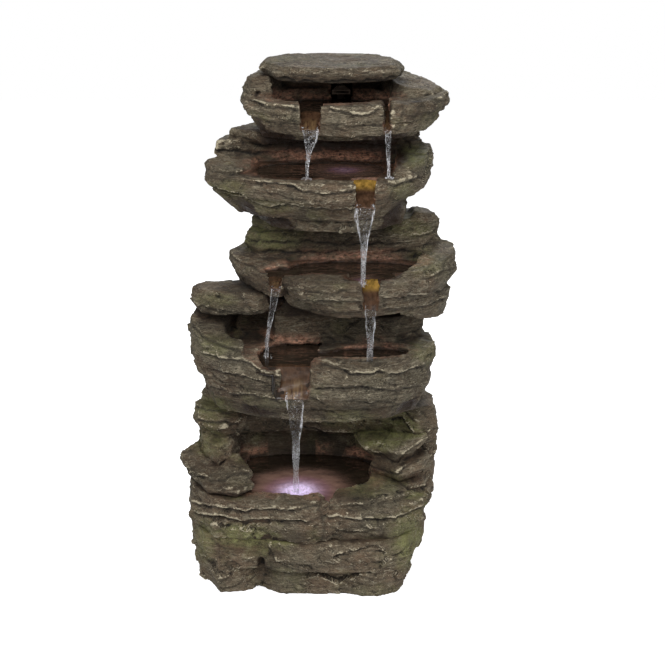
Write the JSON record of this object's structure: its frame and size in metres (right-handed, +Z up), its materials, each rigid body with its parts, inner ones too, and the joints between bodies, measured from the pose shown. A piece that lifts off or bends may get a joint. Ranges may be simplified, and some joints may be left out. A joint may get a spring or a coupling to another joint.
{
  "type": "tiered rock cascade fountain",
  "caption": "Free-standing tiered rock cascade garden fountain with stacked basins, spillways, a submersible pump and pool lights.",
  "frame": {"origin": "centre of the base's footprint, on the ground", "axes": "+X to the viewer's right, -Y towards the viewer, +Z up"},
  "size_m": [0.536, 0.405, 1],
  "materials": {
    "stone": "cast resin stone, grey-brown with moss green and beige dry-brushed ridges",
    "stone_top": "cast resin stone, lighter beige-grey cap",
    "stone_mossy": "cast resin stone with strong moss tint",
    "foam": "closed-cell foam",
    "magnet": "nickel plated",
    "pump_plastic": "moulded black",
    "gland_plastic": "black nylon",
    "lead_rubber": "black cable jacket",
    "light_metal": "stainless",
    "lens": "clear lens, lit lilac white",
    "seal_rubber": "rubber",
    "shaft_ceramic": "ground ceramic",
    "impeller_plastic": "white moulded",
    "dial_plastic": "dark grey moulded",
    "hose": "flexible PVC, dark",
    "clamp_steel": "stainless band"
  },
  "bodies": {
    "root": {"cap_stone": "stone_top", "tier_1_casting": "stone", "tier_2_casting": "stone", "tier_3_casting": "stone", "tier_4_casting": "stone", "pool_casting": "stone", "reservoir_casting": "stone", "left_ledge_rock": "stone", "right_ledge_rock": "stone_mossy", "frame_magnets": "magnet", "return_standpipe": "pump_plastic", "cable_gland": "gland_plastic", "gland_nut": "gland_plastic", "junction_box": "pump_plastic", "feed_lead": "lead_rubber", "pump_lead": "lead_rubber", "light_bodies": "light_metal", "light_lenses": "lens", "light_seals": "seal_rubber", "light_leads": "lead_rubber", "pump_motor": "pump_plastic", "pump_volute": "pump_plastic", "pump_o_ring": "seal_rubber", "shaft_bushes": "seal_rubber", "impeller_shaft": "shaft_ceramic", "pump_strainer": "pump_plastic", "suction_feet": "seal_rubber", "outlet_adapter": "impeller_plastic", "riser_hose": "hose", "hose_clamps": "clamp_steel", "riser_grommets": "seal_rubber", "spout": "pump_plastic"},
    "door": {"access_door": "stone", "door_seal": "foam", "door_magnets": "magnet"},
    "impeller": {"pump_impeller": "impeller_plastic"},
    "dial": {"flow_dial": "dial_plastic"}
  },
  "joints": [
    {"name": "impeller_spin", "type": "hinge", "parent": "root", "child": "impeller", "pos_m": [0.026, 0.108, 0.043], "axis": [1, 0, 0], "continuous": true},
    {"name": "flow_dial_turn", "type": "hinge", "parent": "root", "child": "dial", "pos_m": [-0.008, 0.108, 0.043], "axis": [1, 0, 0], "range_deg": [0, 90]},
    {"name": "access_door_lift_off", "type": "slide", "parent": "root", "child": "door", "axis": [0, 1, 0], "range_m": [0, 0.06]}
  ]
}
